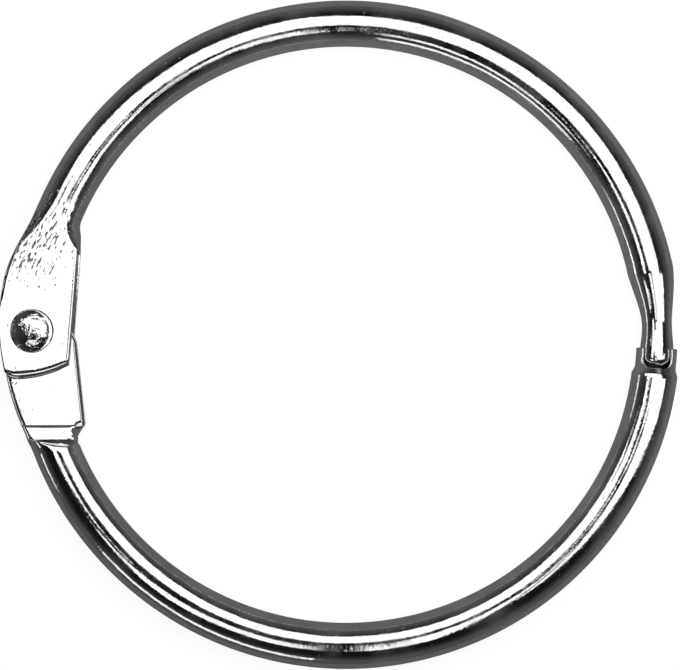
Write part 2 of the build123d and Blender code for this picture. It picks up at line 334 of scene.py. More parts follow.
def make_active(piece: bpy.types.Object) -> None:
    """Selects this object alone."""
    deselect_all()
    piece.select_set(True)
    bpy.context.view_layer.objects.active = piece


def settle(piece: bpy.types.Object) -> None:
    """Moves an object's place, turn and scale into its mesh."""
    make_active(piece)
    bpy.ops.object.transform_apply(location=True, rotation=True, scale=True)


def apply_modifier(piece: bpy.types.Object, kind: str, **settings: object) -> None:
    """Adds one modifier and applies it.

    Args:
        piece: Object that gets the modifier.
        kind: Blender's name for the modifier.
        settings: Values of the modifier's settings.
    """
    make_active(piece)
    modifier = piece.modifiers.new(kind.title(), kind)
    for name, value in settings.items():
        setattr(modifier, name, value)
    bpy.ops.object.modifier_apply(modifier=modifier.name)


def cut_away(piece: bpy.types.Object, cutter: bpy.types.Object) -> None:
    """Cuts a shape out of a piece and removes the cutter."""
    settle(cutter)
    apply_modifier(piece, "BOOLEAN", operation="DIFFERENCE", solver="EXACT", object=cutter)
    bpy.data.objects.remove(cutter)


def round_bar(
    radius: float, low: float, high: float, place: Point, top_radius: float = 0.0
) -> bpy.types.Object:
    """Adds an upright round bar to cut with.

    Args:
        radius: Radius at its foot, in millimetres.
        low: Height of its foot.
        high: Height of its top.
        place: Where its axis stands.
        top_radius: Radius at its top, where it isn't the same as at its foot.

    Returns:
        The bar.
    """
    deselect_all()
    bpy.ops.mesh.primitive_cone_add(
        vertices=96,
        radius1=radius * MM,
        radius2=(top_radius or radius) * MM,
        depth=(high - low) * MM,
        location=(place[0] * MM, place[1] * MM, (low + high) / 2 * MM),
    )
    return bpy.context.object


def close_slits(piece: bpy.types.Object) -> None:
    """Welds the corners along every slit that a bevel or a cut left open in a piece."""
    make_active(piece)
    bpy.ops.object.mode_set(mode="EDIT")
    bpy.ops.mesh.select_mode(type="VERT")
    bpy.ops.mesh.select_all(action="DESELECT")
    bpy.ops.mesh.select_non_manifold()
    bpy.ops.mesh.remove_doubles(threshold=SLIT_REACH * MM)
    bpy.ops.object.mode_set(mode="OBJECT")


class SheetStrip:
    """Strip of sheet that is pulled from section to section, as a rolling mill shapes it."""

    def __init__(self, name: str, row: Row) -> None:
        """Starts the strip from a circle that is cut open and laid along its first section.

        Args:
            name: Name of the finished piece.
            row: Place of every lane of the strip in its first section.
        """
        deselect_all()
        bpy.ops.mesh.primitive_circle_add(vertices=len(row), radius=2 * MM)
        self.piece = bpy.context.object
        self.piece.name = name
        self.piece.data.name = name
        bpy.ops.object.mode_set(mode="EDIT")
        mesh = bmesh.from_edit_mesh(self.piece.data)
        lanes = mesh.verts.layers.int.new("lane")
        mesh.verts.ensure_lookup_table()
        for number, vertex in enumerate(mesh.verts):
            vertex[lanes] = number
        closing = [e for e in mesh.edges if {v[lanes] for v in e.verts} == {0, len(row) - 1}]
        for edge in mesh.edges:
            edge.select_set(edge in closing)
        bmesh.update_edit_mesh(self.piece.data)
        bpy.ops.mesh.select_mode(type="EDGE")
        bpy.ops.mesh.delete(type="EDGE")
        bpy.ops.mesh.select_all(action="SELECT")
        self.place_selected(row)

    def place_selected(self, row: Row) -> None:
        """Moves every selected point to its lane's place in this section."""
        mesh = bmesh.from_edit_mesh(self.piece.data)
        lanes = mesh.verts.layers.int["lane"]
        for vertex in mesh.verts:
            if vertex.select:
                vertex.co = row[vertex[lanes]] * MM
        bmesh.update_edit_mesh(self.piece.data)

    def spin(self, turn: float, count: int) -> None:
        """Spins the selected section about the ring's axis; with no window it turns backwards."""
        bpy.ops.mesh.spin(steps=count, angle=-radians(turn), center=(0, 0, 0), axis=(0, 0, 1))

    def take(self, row: Row) -> None:
        """Selects the section that lies on these places."""
        bpy.ops.mesh.select_all(action="DESELECT")
        mesh = bmesh.from_edit_mesh(self.piece.data)
        lanes = mesh.verts.layers.int["lane"]
        for vertex in mesh.verts:
            goal = row.get(vertex[lanes])
            if goal is not None and (vertex.co - goal * MM).length < 0.002 * MM:
                vertex.select_set(True)
        mesh.select_flush(True)
        for edge in mesh.edges:
            edge.select_set(all(vertex.select for vertex in edge.verts))
        bmesh.update_edit_mesh(self.piece.data)

    def pull(self, rows: list[Row]) -> None:
        """Extrudes the selected section once for each row of places."""
        for row in rows:
            mesh = bmesh.from_edit_mesh(self.piece.data)
            lanes = mesh.verts.layers.int["lane"]
            for edge in mesh.edges:
                if edge.select and not all(vertex[lanes] in row for vertex in edge.verts):
                    edge.select_set(False)
            bmesh.update_edit_mesh(self.piece.data)
            bpy.ops.mesh.extrude_edges_indiv()
            self.place_selected(row)

    def thicken(
        self,
        sheet: float,
        share_at: Callable[[Vector], float] | None = None,
        even: bool = True,
    ) -> bpy.types.Object:
        """Closes the strip's seams and gives it the sheet's thickness, inward.

        Args:
            sheet: Thickness of the sheet.
            share_at: Share of that thickness at a point, in millimetres, where it is thinned.
            even: Whether the sheet keeps its full thickness round tight bends.

        Returns:
            The piece, in object mode.
        """
        bpy.ops.mesh.select_all(action="SELECT")
        bpy.ops.mesh.remove_doubles(threshold=WELD_REACH * MM)
        bpy.ops.mesh.normals_make_consistent(inside=False)
        mesh = bmesh.from_edit_mesh(self.piece.data)
        highest = max(mesh.faces, key=lambda face: face.calc_center_median().z)
        if highest.normal.z < 0:
            bpy.ops.mesh.flip_normals()
        bpy.ops.object.mode_set(mode="OBJECT")
        shares = self.piece.vertex_groups.new(name="sheet")
        for vertex in self.piece.data.vertices:
            share = 1.0 if share_at is None else share_at(vertex.co / MM)
            shares.add([vertex.index], share, "REPLACE")
        apply_modifier(
            self.piece,
            "SOLIDIFY",
            vertex_group="sheet",
            thickness=sheet * MM,
            offset=-1.0,
            use_even_offset=even,
            use_quality_normals=True,
        )
        return self.piece


def round_sharp_edges(
    piece: bpy.types.Object, widest: float, share_at: Callable[[Vector], float]
) -> None:
    """Rounds every sharp edge of a piece, each as widely as its place asks.

    Args:
        piece: The piece.
        widest: Width of the widest rounding, in millimetres.
        share_at: Share of that width at a point, in millimetres.
    """
    make_active(piece)
    mesh = bmesh.new()
    mesh.from_mesh(piece.data)
    weights = mesh.edges.layers.float.get("bevel_weight_edge")
    if weights is None:
        weights = mesh.edges.layers.float.new("bevel_weight_edge")
    for edge in mesh.edges:
        if len(edge.link_faces) == 2 and edge.calc_face_angle(0) > radians(SHARP_ANGLE):
            middle = (edge.verts[0].co + edge.verts[1].co) / 2 / MM
            edge[weights] = share_at(middle)
    mesh.to_mesh(piece.data)
    mesh.free()
    apply_modifier(
        piece,
        "BEVEL",
        width=widest * MM,
        segments=5,
        limit_method="WEIGHT",
        use_clamp_overlap=False,
    )


@dataclass(frozen=True)
class PolishedNickel:
    """Bright nickel plate over rolled steel, with the faint waves that rolling leaves, and dark
    dented specks round a given point: painted shade at the fork's bend, rough texture on the
    tongue's bend.
    """

    name: str
    colour: tuple[float, float, float] = (0.76, 0.76, 0.765)
    dull_colour: tuple[float, float, float] = (0.62, 0.62, 0.625)
    # Near-black colour of the specks, which is painted shade at the fork's bend and rough texture
    # on the tongue's bend.
    speck_and_shade_colour: tuple[float, float, float] = (0.1, 0.1, 0.1)
    haze: float = 0.16
    smoothest: float = 0.04
    roughest: float = 0.17
    wave_size: float = 180.0
    wave_depth: float = 0.00008
    grain_size: float = 2600.0
    grain_depth: float = 0.000008
    cloud_size: float = 700.0
    haze_size: float = 260.0
    speck_and_shade_middle: Vector | None = None
    speck_and_shade_reach: float = 0.007
    speck_size: float = 4600.0
    speck_slant: float = 63.0
    speck_stretch: float = 2.8
    speck_depth: float = 0.00002

    def noise(self, tree: bpy.types.NodeTree, scale: float, detail: float) -> bpy.types.Node:
        """Adds a noise on Object coordinates.

        Args:
            tree: Node tree of the material.
            scale: Size of the noise.
            detail: Detail of the noise.

        Returns:
            The noise node.
        """
        place = tree.nodes.new("ShaderNodeTexCoord")
        noise = tree.nodes.new("ShaderNodeTexNoise")
        noise.inputs["Scale"].default_value = scale
        noise.inputs["Detail"].default_value = detail
        tree.links.new(place.outputs["Object"], noise.inputs["Vector"])
        return noise

    def remap(
        self, tree: bpy.types.NodeTree, value: bpy.types.NodeSocket, old: Point, new: Point
    ) -> bpy.types.NodeSocket:
        """Maps a value from one range onto another.

        Args:
            tree: Node tree of the material.
            value: The value.
            old: Range that it comes from.
            new: Range that it goes to.

        Returns:
            The mapped value.
        """
        node = tree.nodes.new("ShaderNodeMapRange")
        node.inputs["From Min"].default_value, node.inputs["From Max"].default_value = old
        node.inputs["To Min"].default_value, node.inputs["To Max"].default_value = new
        tree.links.new(value, node.inputs["Value"])
        return node.outputs["Result"]

    def mixed(
        self, tree: bpy.types.NodeTree, share: bpy.types.NodeSocket, first: object, second: tuple
    ) -> bpy.types.NodeSocket:
        """Mixes a colour or a colour socket with a second colour.

        Args:
            tree: Node tree of the material.
            share: Share of the second colour.
            first: First colour, or the socket that gives it.
            second: Second colour.

        Returns:
            The mixed colour.
        """
        node = tree.nodes.new("ShaderNodeMix")
        node.data_type = "RGBA"
        if isinstance(first, tuple):
            node.inputs["A"].default_value = (*first, 1.0)
        else:
            tree.links.new(first, node.inputs["A"])
        node.inputs["B"].default_value = (*second, 1.0)
        tree.links.new(share, node.inputs["Factor"])
        return node.outputs["Result"]

    def bump(
        self, tree: bpy.types.NodeTree, height: bpy.types.NodeSocket, depth: float, under: object
    ) -> bpy.types.NodeSocket:
        """Adds a bump.

        Args:
            tree: Node tree of the material.
            height: Height that makes the bump.
            depth: Distance that a height of 1 stands for, in metres.
            under: Normal of the bump under this one, or None.

        Returns:
            The bumped normal.
        """
        node = tree.nodes.new("ShaderNodeBump")
        node.inputs["Strength"].default_value = 1.0
        node.inputs["Distance"].default_value = depth
        tree.links.new(height, node.inputs["Height"])
        if under is not None:
            tree.links.new(under, node.inputs["Normal"])
        return node.outputs["Normal"]

    def speck_and_shade_share(self, tree: bpy.types.NodeTree) -> bpy.types.NodeSocket:
        """Share of dark specks: drawn-out specks that thin out away from a given point; they are
        painted shade at the fork's bend and rough texture on the tongue's bend.
        """
        place = tree.nodes.new("ShaderNodeTexCoord")
        slant = tree.nodes.new("ShaderNodeMapping")
        slant.inputs["Rotation"].default_value = (0, 0, radians(self.speck_slant))
        slant.vector_type = "TEXTURE"
        slant.inputs["Scale"].default_value = (self.speck_stretch, 1.0, 1.0)
        specks = tree.nodes.new("ShaderNodeTexNoise")
        specks.inputs["Scale"].default_value = self.speck_size
        specks.inputs["Detail"].default_value = 1.0
        tree.links.new(place.outputs["Object"], slant.inputs["Vector"])
        tree.links.new(slant.outputs["Vector"], specks.inputs["Vector"])
        distance = tree.nodes.new("ShaderNodeVectorMath")
        distance.operation = "DISTANCE"
        distance.inputs[1].default_value = self.speck_and_shade_middle
        tree.links.new(place.outputs["Object"], distance.inputs[0])
        reach = (0.3 * self.speck_and_shade_reach, self.speck_and_shade_reach)
        near = self.remap(tree, distance.outputs["Value"], reach, (0.0, 0.2))
        lowered = tree.nodes.new("ShaderNodeMath")
        lowered.operation = "SUBTRACT"
        tree.links.new(specks.outputs["Fac"], lowered.inputs[0])
        tree.links.new(near, lowered.inputs[1])
        return self.remap(tree, lowered.outputs["Value"], (0.56, 0.62), (0.0, 1.0))

    def make(self) -> bpy.types.Material:
        """Makes the material, with its patterns on Object coordinates."""
        material = bpy.data.materials.new(self.name)
        material.use_nodes = True
        tree = material.node_tree
        shader = tree.nodes["Principled BSDF"]
        shader.inputs["Metallic"].default_value = 1.0
        cloud = self.noise(tree, self.cloud_size, 6.0)
        gloss_range = (self.smoothest, self.roughest)
        gloss = self.remap(tree, cloud.outputs["Fac"], (0.35, 0.75), gloss_range)
        tree.links.new(gloss, shader.inputs["Roughness"])
        haze = self.noise(tree, self.haze_size, 8.0)
        bare = self.remap(tree, haze.outputs["Fac"], (0.5, 0.8), (1.0, 1.0 - self.haze))
        tree.links.new(bare, shader.inputs["Metallic"])
        dulling = self.remap(tree, cloud.outputs["Fac"], (0.3, 0.8), (0.0, 1.0))
        colour = self.mixed(tree, dulling, self.colour, self.dull_colour)
        waves = self.noise(tree, self.wave_size, 2.0)
        grain = self.noise(tree, self.grain_size, 3.0)
        normal = self.bump(tree, waves.outputs["Fac"], self.wave_depth, None)
        normal = self.bump(tree, grain.outputs["Fac"], self.grain_depth, normal)
        # Dark specks with a small dent, round a given point: painted shade at the fork's bend,
        # rough texture on the tongue's bend.
        if self.speck_and_shade_middle is not None:
            specks_and_shade = self.speck_and_shade_share(tree)
            colour = self.mixed(tree, specks_and_shade, colour, self.speck_and_shade_colour)
            normal = self.bump(tree, specks_and_shade, -self.speck_depth, normal)
        tree.links.new(colour, shader.inputs["Base Color"])
        tree.links.new(normal, shader.inputs["Normal"])
        return material


@dataclass
class RolledSheet:
    """Sizes that both halves share, and the sections of the round tube."""

    eye_radius: float = 25.0
    tube_radius: float = 2.0
    sheet: float = 0.45
    seam_gap: float = 0.12
    half_lanes: int = 40
    trim_margin: float = 2.2
    pivot_x: float = -27.0
    pivot_height: float = 0.33

    @property
    def centreline(self) -> float:
        """Radius of the tube's centreline."""
        return self.eye_radius + self.tube_radius

    def from_pivot(self, outward: float, drop: float) -> Point:
        """Point this far outward of the rivet and this far below it."""
        return (self.pivot_x - outward, self.pivot_height - drop)

    def lanes(self, half: Curve, place: Callable[[float, float], Vector]) -> Row:
        """Lays a half section and its mirror image into the strip's lanes.

        Args:
            half: Points from the front edge to the middle of the back.
            place: Turns an outward distance and a height into a point.

        Returns:
            The place of each lane, from the underside's front edge to the top's.
        """
        row = {}
        last = 2 * self.half_lanes
        for number, (outward, height) in enumerate(half):
            row[number] = place(outward, -height)
            row[last - number] = place(outward, height)
        return row

    def at_angle(self, angle: float) -> Callable[[float, float], Vector]:
        """Places points of a section that is square to the tube at this angle."""
        return lambda outward, height: Vector((*on_ring(outward, angle), height))

    def at_height(self, level: float) -> Callable[[float, float], Vector]:
        """Places points of a section that is square to the Y axis at this height."""
        return lambda outward, height: Vector((-outward, level, height))

    def circle_half(self, radius: float, gap: float) -> Curve:
        """Half of a round section, open by half of the seam's gap at its front."""
        opening = degrees(asin(gap / 2 / radius))
        return arc((self.centreline, 0), radius, 180 - opening, 0, self.half_lanes)

    def tube_row(self, angle: float) -> Row:
        """Section of the rolled tube at this angle."""
        return self.lanes(self.circle_half(self.tube_radius, self.seam_gap), self.at_angle(angle))


@dataclass
class UpperHalf(RolledSheet):
    """Half with the fork at the hinge, and the neck and plug at the closure."""

    name: str = "upper_half_rolled"
    body: str = "upper"
    node: str = "upper_half"
    fork_length: float = 8.0
    fork_swell_length: float = 6.4
    fork_open_length: float = 4.0
    fork_back_bulge: float = 0.95
    fork_back_bend: float = 0.3
    fork_front_inset: float = 1.4
    fork_front_tilt: float = 4.2
    web_rise: float = 3.84
    cheek_back_reach: float = 2.92
    cheek_corner_back: float = 2.3
    cheek_corner_drop: float = 4.16
    cheek_end_drop: float = 4.06
    cheek_front_drop: float = 2.95
    cheek_end_press: float = 0.2
    cheek_corner_reach: float = 0.75
    cheek_edge_strip: float = 0.34
    cheek_end_rounding: float = 0.4
    cheek_end_share: float = 0.75
    cheek_front_share: float = 0.5
    plain_share: float = 0.1
    dimple_shift: float = -0.1
    flat_length: float = 4.6
    dimple_radius: float = 1.9
    dimple_floor_radius: float = 1.75
    dimple_depth: float = 0.12
    shank_radius: float = 1.0
    plug_angle: float = -3.0
    neck_radius: float = 1.3
    flare_radius: float = 1.45
    neck_length: float = 2.55
    taper_length: float = 4.5
    plug_profile: Curve = field(
        default_factory=lambda: [
            (0.35, 1.47), (0.65, 1.46), (0.85, 1.42), (1.05, 1.33), (1.25, 1.2),
            (1.5, 1.1), (1.75, 1.12), (2.1, 1.24), (2.5, 1.31), (2.75, 1.345),
            (2.95, 1.35), (3.15, 1.31), (3.4, 1.2), (3.8, 0.95),
        ]
    )

    def __post_init__(self) -> None:
        """Works out where the fork and the neck begin and end."""
        self.fork_back = self.eye_radius + 2 * self.tube_radius + self.fork_back_bulge
        self.front_distance = self.eye_radius - self.fork_front_inset
        self.web_end = 180 - degrees(asin((self.pivot_height + self.web_rise) / self.fork_back))
        self.fork_start = self.web_end - self.arc_angle(self.fork_length)
        self.fork_swell = self.web_end - self.arc_angle(self.fork_swell_length)
        self.fork_edge = self.fork_start + self.arc_angle(self.fork_open_length)
        self.fork_flat = self.fork_start + self.arc_angle(self.flat_length)
        front_turn = degrees(acos(self.front_distance / self.eye_radius))
        self.front_edge = 180 - self.fork_front_tilt - front_turn
        self.neck_start = self.plug_angle + self.arc_angle(self.neck_length)
        self.taper_start = self.neck_start + self.arc_angle(self.taper_length)

    def arc_angle(self, length: float) -> float:
        """Angle that this length takes along the tube's centreline."""
        return degrees(length / self.centreline)

    def front_radius(self, angle: float) -> float:
        """Radius at which this angle meets the fork's straight front edge."""
        if angle <= self.front_edge:
            return self.eye_radius
        return self.front_distance / cos(radians(180 - self.fork_front_tilt - angle))

    def front_point(self, level: float) -> Point:
        """Point of the fork's straight front edge at this height."""
        tilt = radians(self.fork_front_tilt)
        return (level * tan(tilt) - self.front_distance / cos(tilt), level)

    def fork_row(self, angle: float) -> Row:
        """Section of the fork at this angle, open in front as far as its edges have parted."""
        opening = share_between(angle, self.front_edge, self.fork_edge) ** 2
        flattening = share_between(angle, self.fork_start, self.fork_flat) ** 1.4
        swelling = ease(share_between(angle, self.fork_swell, self.web_end))
        edge = self.front_radius(angle)
        front = blend(self.eye_radius, edge - self.trim_margin, opening)
        back = self.eye_radius + 2 * self.tube_radius + self.fork_back_bulge * swelling
        bend = blend(self.tube_radius, self.fork_back_bend, flattening)
        curve = folded_half(front, back, self.tube_radius, bend)
        even = pi * self.tube_radius / self.half_lanes
        parting = share_between(angle, self.front_edge, self.fork_edge)
        lead = blend(even, self.cheek_edge_strip, parting)
        half = led_spread(trimmed(curve, edge, self.seam_gap / 2), lead, 1, self.half_lanes)
        return self.lanes(half, self.at_angle(angle))

    def cheek_rows(self) -> list[Row]:
        """Rows of both flat cheeks, from the end of the web to their rounded ends."""
        start = self.fork_row(self.web_end)
        last = 2 * self.half_lanes
        flat = [n for n in range(self.half_lanes) if start[last - n].z > self.tube_radius - 0.2]
        top = [(start[last - n].x, start[last - n].y) for n in flat]
        edge_low = self.front_point(self.pivot_height - self.cheek_front_drop)
        back_low = self.from_pivot(self.cheek_corner_back, self.cheek_corner_drop)
        end = arc_through(edge_low, self.from_pivot(0, self.cheek_end_drop), back_low, 60)
        back = arc_through(
            on_ring(self.fork_back, self.web_end),
            self.from_pivot(self.cheek_back_reach, 0),
            back_low,
            80,
        )
        back[0] = top[-1]
        back, turned = rounded_corner(back, end[::-1], self.cheek_corner_reach)
        front = [top[0], edge_low]
        shares = [0.03, 0.08, 0.16, 0.28, 0.4, 0.52, 0.64, 0.76, 0.86, 0.93, 1.0]
        rows = []
        for share, points in zip(shares, patch_rows(top, turned[::-1], front, back, shares)):
            row = {}
            for number, (x, y) in zip(flat, points):
                flattening = ease(share_between(share, 0, 0.16))
                height = blend(start[last - number].z, self.tube_radius, flattening)
                row[number] = Vector((x, y, -height))
                row[last - number] = Vector((x, y, height))
            rows.append(row)
        self.end_row = rows[-1]
        return rows

    def press_ends(self, piece: bpy.types.Object) -> None:
        """Presses the outer corners of both cheeks' ends down, as the shears leave them."""
        corner = self.pivot_x - self.cheek_corner_back
        ends = [point for point in self.end_row.values() if point.x > corner]
        for vertex in piece.data.vertices:
            here = vertex.co / MM
            outside = abs(abs(here.z) - self.tube_radius) < 0.01
            if outside and any((here - end).length < 0.02 for end in ends):
                vertex.co.z -= copysign(self.cheek_end_press * MM, here.z)

    def taper_rows(self) -> list[Row]:
        """Rows of the taper down to the neck, and of the neck."""
        rows = []
        for share in steps(0, 1, 24)[1:]:
            radius = blend(self.tube_radius, self.neck_radius, (share + ease(share)) / 2)
            half = self.circle_half(radius, blend(self.seam_gap, 0, share))
            angle = blend(self.taper_start, self.neck_start, share)
            rows.append(self.lanes(half, self.at_angle(angle)))
        for angle in steps(self.neck_start, self.plug_angle, 12)[1:]:
            flare = ease(share_between(angle, self.neck_start / 2, self.plug_angle))
            radius = blend(self.neck_radius, self.flare_radius, flare)
            rows.append(self.lanes(self.circle_half(radius, 0), self.at_angle(angle)))
        return rows

    def plug_rows(self) -> list[Row]:
        """Rows of the straight plug, down its groove and over its bead to its open tip."""
        down = Vector((*on_ring(1, self.plug_angle - 90), 0))
        rows = []
        for drop, radius in self.plug_profile:
            row = self.lanes(self.circle_half(radius, 0), self.at_angle(self.plug_angle))
            rows.append({lane: point + down * drop for lane, point in row.items()})
        return rows

    def rounding_share(self, point: Vector) -> float:
        """How far a sharp edge here is rounded: most at the cheeks' ends."""
        low = self.pivot_height - self.cheek_front_drop
        outside = abs(point.z) > self.tube_radius - self.cheek_end_press - 0.05
        if not outside or point.x > -20:
            return self.plain_share
        if point.y < low - 0.02 and point.x > self.pivot_x - self.cheek_corner_back - 0.4:
            return self.cheek_end_share
        if abs(point.x - self.front_point(point.y)[0]) < 0.06:
            rise = share_between(point.y, 6.5, 8.5)
            share = blend(self.cheek_front_share, self.plain_share, rise)
            return blend(share, 1.0, ease(share_between(point.y, 0.6, -1.2)))
        return self.plain_share

    def build(self) -> bpy.types.Object:
        """Rolls the half, opens its fork, draws its neck, and punches the rivet's seat.

        Returns:
            The finished piece.
        """
        start = self.tube_row(self.fork_start)
        strip = SheetStrip(self.name, start)
        turn = self.taper_start - self.fork_start
        strip.spin(turn, ceil(abs(turn) / SPIN_STEP))
        strip.take(self.tube_row(self.taper_start))
        strip.pull(self.taper_rows() + self.plug_rows())
        strip.take(start)
        strip.pull([self.fork_row(angle) for angle in steps(self.fork_start, self.web_end, 46)[1:]])
        strip.pull(self.cheek_rows())
        piece = strip.thicken(self.sheet)
        self.press_ends(piece)
        round_sharp_edges(piece, self.cheek_end_rounding, self.rounding_share)
        pivot = (self.pivot_x, self.pivot_height)
        dimple = (self.pivot_x + self.dimple_shift, self.pivot_height)
        for face in Face:
            floor = face.value * (self.tube_radius - self.dimple_depth)
            brim = face.value * (self.tube_radius + self.dimple_depth)
            wide = 2 * self.dimple_radius - self.dimple_floor_radius
            if face is Face.TOP:
                cutter = round_bar(self.dimple_floor_radius, floor, brim, dimple, wide)
            else:
                cutter = round_bar(wide, brim, floor, dimple, self.dimple_floor_radius)
            cut_away(piece, cutter)
        cut_away(piece, round_bar(self.shank_radius, -PUNCH_REACH, PUNCH_REACH, pivot))
        close_slits(piece)
        return piece


@dataclass
class LowerHalf(RolledSheet):
    """Half with the flat tongue at the hinge, and the mouth at the closure."""

    name: str = "lower_half_rolled"
    body: str = "lower"
    node: str = "lower_half"
    tongue_half_height: float = 1.5
    tongue_length: float = 8.08
    tongue_front_inset: float = 2.3
    tongue_back_reach: float = 2.67
    tongue_back_radius: float = 19.35
    tongue_back_drop: float = 0.46
    tongue_root_bend: float = 0.5
    tongue_top_bend: float = 0.3
    tongue_web_drop: float = 1.2
    tongue_nose_reach: float = 3.55
    tongue_nose_drop: float = 0.93
    shoulder_length: float = 1.2
    shoulder_lead: float = 0.6
    shank_hole_radius: float = 1.05
    front_strip: float = 1.4
    front_lanes: int = 7
    box_front: float = 23.36
    box_back: float = 27.56
    box_front_bend: float = 0.3
    box_back_bend: float = 0.65
    groove_level: float = -9.45
    groove_squaring: float = 0.5
    plug_angle: float = -3.0
    lip_rise: float = 0.24
    rim_rounding: float = 0.2
    mouth_share: float = 0.5
    tongue_front_share: float = 0.8
    plain_share: float = 0.2
    notch_half_width: float = 1.45
    notch_drop: float = 1.5
    notch_corner: float = 0.7
    lip_radius: float = 1.77
    lip_sheet_share: float = 0.5
    swage_start: float = 2.05
    swage_end: float = 1.52
    last_round_drop: float = 2.35

    def __post_init__(self) -> None:
        """Works out the heights of the tongue and its shoulder."""
        self.web_top = self.pivot_height - self.tongue_web_drop
        self.root = self.pivot_height - self.tongue_length
        self.shoulder = self.root - self.shoulder_length
        self.tube_end = 180 + degrees(asin((self.shoulder_lead - self.shoulder) / self.eye_radius))
        self.nose_corner = self.from_pivot(-self.tongue_nose_reach, self.tongue_nose_drop)

    def front_x(self, level: float) -> float:
        """Front edge of the tongue at this height."""
        share = share_between(level, self.root, self.nose_corner[1])
        return blend(self.tongue_front_inset - self.eye_radius, self.nose_corner[0], share)

    def back_x(self, level: float) -> float:
        """Back of the tongue at this height, which is one long arc."""
        rise = level - self.pivot_height + self.tongue_back_drop
        reach = self.pivot_x - self.tongue_back_reach + self.tongue_back_radius
        return reach - sqrt(self.tongue_back_radius**2 - rise**2)

    def tongue_row(self, level: float) -> Row:
        """Section of the tongue at this height, open in front."""
        edge = -self.front_x(level)
        rise = share_between(level, self.root, self.web_top)
        bend = blend(self.tongue_root_bend, self.tongue_top_bend, rise)
        front = edge - self.trim_margin
        curve = folded_half(front, -self.back_x(level), self.tongue_half_height, bend)
        behind = trimmed(curve, edge, 0)
        half = led_spread(behind, self.front_strip, self.front_lanes, self.half_lanes)
        return self.lanes(half, self.at_height(level))

    def shoulder_rows(self) -> list[Row]:
        """Rows from the round tube over a groove and a ridge, and down the ramp to the tongue."""
        round_row = self.tube_row(self.tube_end)
        outer = sqrt((self.eye_radius + 2 * self.tube_radius) ** 2 - self.groove_level**2)
        inner = sqrt(self.eye_radius**2 - self.groove_level**2)
        reach = (outer - inner) / 2 / self.tube_radius
        oval = self.lanes(
            [
                ((outer + inner) / 2 + (outward - self.centreline) * reach, height)
                for outward, height in self.circle_half(self.tube_radius, self.seam_gap)
            ],
            self.at_height(self.groove_level),
        )
        box_curve = folded_half(
            self.box_front, self.box_back, self.tube_radius, self.box_back_bend, self.box_front_bend
        )
        wall = self.tube_radius + self.box_front_bend * 0.6
        box_half = led_spread(
            trimmed(box_curve, 0, self.seam_gap / 2), wall, self.front_lanes, self.half_lanes
        )
        low_box = self.lanes(box_half, self.at_height(self.groove_level))
        rows = []
        for share, height in ((0.3, 1.0), (0.55, 0.995), (0.8, 0.975), (1.0, 0.95)):
            row = {lane: round_row[lane].lerp(oval[lane], share) for lane in oval}
            squaring = self.groove_squaring * share**3
            row = {lane: point.lerp(low_box[lane], squaring) for lane, point in row.items()}
            tallest = max(point.z for point in row.values()) / self.tube_radius
            rows.append(
                {lane: Vector((p.x, p.y, p.z * height / tallest)) for lane, p in row.items()}
            )
        root = self.tongue_row(self.root)
        profile = (
            (-9.32, 1.92, 0.0), (-9.18, 1.99, 0.0), (-9.04, 2.05, 0.0), (-8.95, 2.06, 0.04),
            (-8.85, 2.04, 0.1), (-8.6, 1.95, 0.3), (-8.3, 1.85, 0.55), (-8.05, 1.76, 0.75),
            (-7.93, 1.71, 0.86), (-7.89, 1.67, 0.9), (-7.83, 1.56, 0.95), (-7.79, 1.51, 0.98),
            (-7.75, 1.5, 1.0),
        )
        for level, height, share in profile:
            box = self.lanes(box_half, self.at_height(level))
            rise = share_between(level, self.groove_level, -9.05)
            squaring = blend(self.groove_squaring, 1.0, rise)
            row = {}
            for lane, corner in box.items():
                point = oval[lane].lerp(corner, squaring).lerp(root[lane], share)
                row[lane] = Vector((point.x, level, point.z))
            tallest = max(point.z for point in row.values())
            rows.append(
                {lane: Vector((p.x, p.y, p.z * height / tallest)) for lane, p in row.items()}
            )
        return rows

    def nose_rows(self) -> list[Row]:
        """Rows of the tongue's two flat leaves, from the end of its web to its rounded nose."""
        start = self.tongue_row(self.web_top)
        last = 2 * self.half_lanes
        limit = self.tongue_half_height - 0.2
        flat = [n for n in range(self.half_lanes) if start[last - n].z > limit]
        top = [(start[last - n].x, start[last - n].y) for n in flat]
        pivot = (self.pivot_x, self.pivot_height)
        radius = self.pivot_x - self.back_x(self.pivot_height)
        reach = hypot(self.tongue_nose_reach, self.tongue_nose_drop)
        nose_fall = atan2(self.tongue_nose_drop, self.tongue_nose_reach)
        nose_angle = degrees(acos(radius / reach) - nose_fall)
        front = [top[0], self.nose_corner]
        end = [self.nose_corner] + arc(pivot, radius, nose_angle, 135, 60)
        front, end = rounded_corner(front, end, 0.5)
        back = [top[-1]] + arc(pivot, radius, 186, 135, 30)
        shares = [0.04, 0.12, 0.25, 0.4, 0.55, 0.7, 0.85, 1.0]
        rows = []
        for share, points in zip(shares, patch_rows(top, end, front, back, shares)):
            row = {}
            for number, (x, y) in zip(flat, points):
                flattening = ease(share_between(share, 0, 0.25))
                height = blend(start[last - number].z, self.tongue_half_height, flattening)
                row[number] = Vector((x, y, -height))
                row[last - number] = Vector((x, y, height))
            rows.append(row)
        return rows

    def mouth_point(self, angle_round: float, drop: float) -> Vector:
        """Point of the tube's wall at this angle round it and this far below the plug's root."""
        along = self.plug_angle + 360 - degrees(drop / self.centreline)
        swage = share_between(drop, self.swage_start, self.swage_end)
        radius = blend(self.tube_radius, self.lip_radius, swage)
        outward = self.centreline + radius * cos(radians(angle_round))
        return Vector((*on_ring(outward, along), radius * sin(radians(angle_round))))

